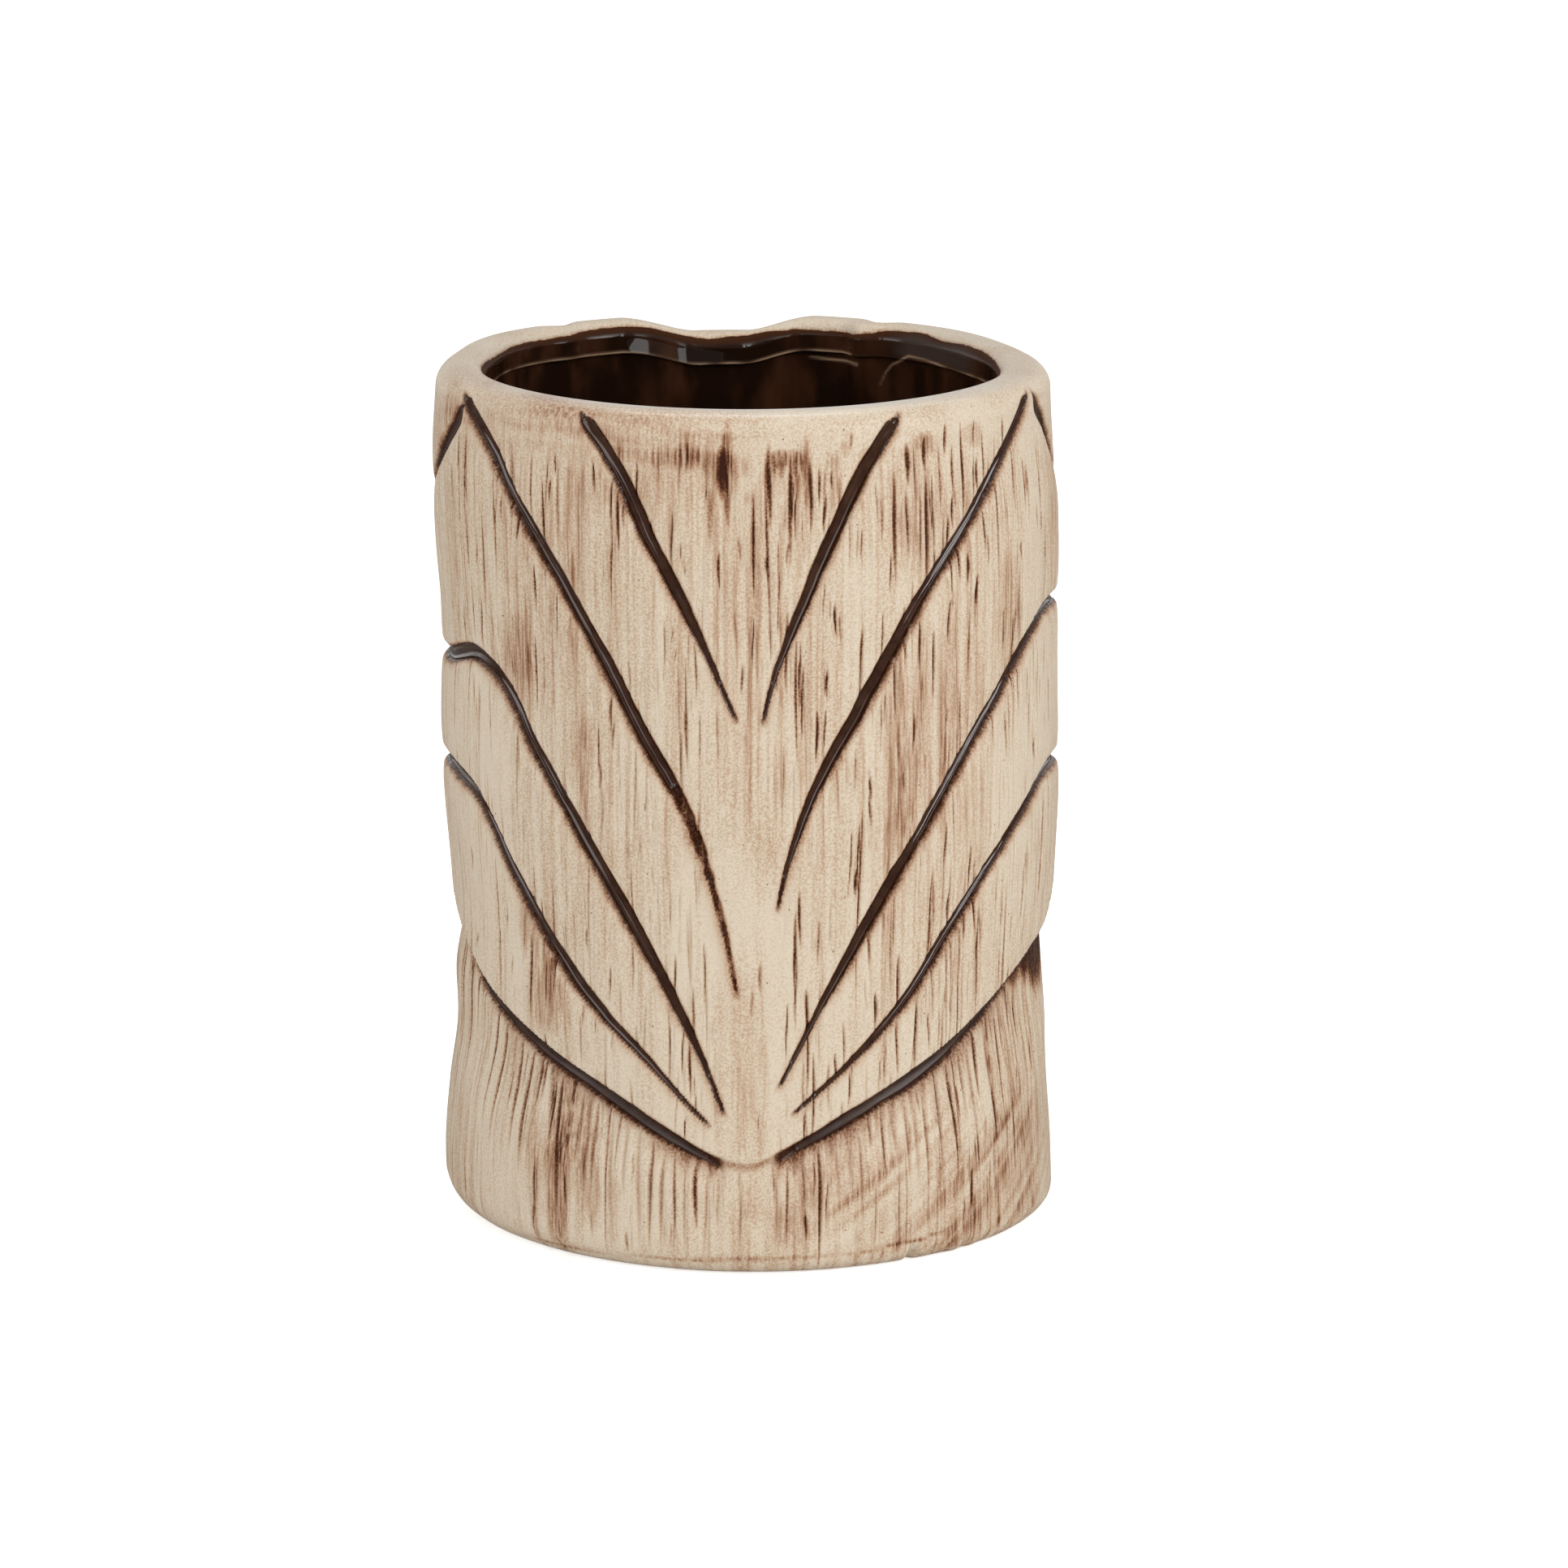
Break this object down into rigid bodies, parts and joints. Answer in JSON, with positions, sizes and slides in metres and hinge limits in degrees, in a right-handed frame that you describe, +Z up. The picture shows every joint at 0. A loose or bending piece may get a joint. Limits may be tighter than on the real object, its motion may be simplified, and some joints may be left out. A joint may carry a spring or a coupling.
{
  "type": "tiki mug",
  "caption": "Handleless ceramic tumbler shaped as a carved head, with leaf-like carved lines round its back and dark glaze inside.",
  "frame": {"origin": "centre of the flat underside, on the table", "axes": "+Z up along the mug's axis; -Y faces the carved leaf side in the picture; the face looks along +Y, turned a little towards -X"},
  "size_m": [0.0902, 0.0976, 0.125],
  "materials": {
    "stained_ceramic": "satin",
    "brown_glaze": "gloss"
  },
  "bodies": {
    "root": {"ceramic_body": "stained_ceramic", "interior_glaze": "brown_glaze", "leaf_glaze_left_1": "brown_glaze", "leaf_glaze_left_2": "brown_glaze", "leaf_glaze_left_3": "brown_glaze", "leaf_glaze_left_4": "brown_glaze", "leaf_glaze_right_1": "brown_glaze", "leaf_glaze_right_2": "brown_glaze", "leaf_glaze_right_3": "brown_glaze", "leaf_glaze_right_4": "brown_glaze", "temple_glaze_left": "brown_glaze", "temple_glaze_right": "brown_glaze", "head_edge_glaze_left": "brown_glaze", "head_edge_glaze_right": "brown_glaze", "brow_glaze_left": "brown_glaze", "brow_glaze_right": "brown_glaze", "forehead_glaze_left": "brown_glaze", "forehead_glaze_right": "brown_glaze", "upper_lid_glaze_left": "brown_glaze", "upper_lid_glaze_right": "brown_glaze", "lower_lid_glaze_left": "brown_glaze", "lower_lid_glaze_right": "brown_glaze", "nose_glaze_left": "brown_glaze", "nose_glaze_right": "brown_glaze", "cheek_glaze_left": "brown_glaze", "cheek_glaze_right": "brown_glaze", "mouth_glaze": "brown_glaze"}
  },
  "joints": []
}
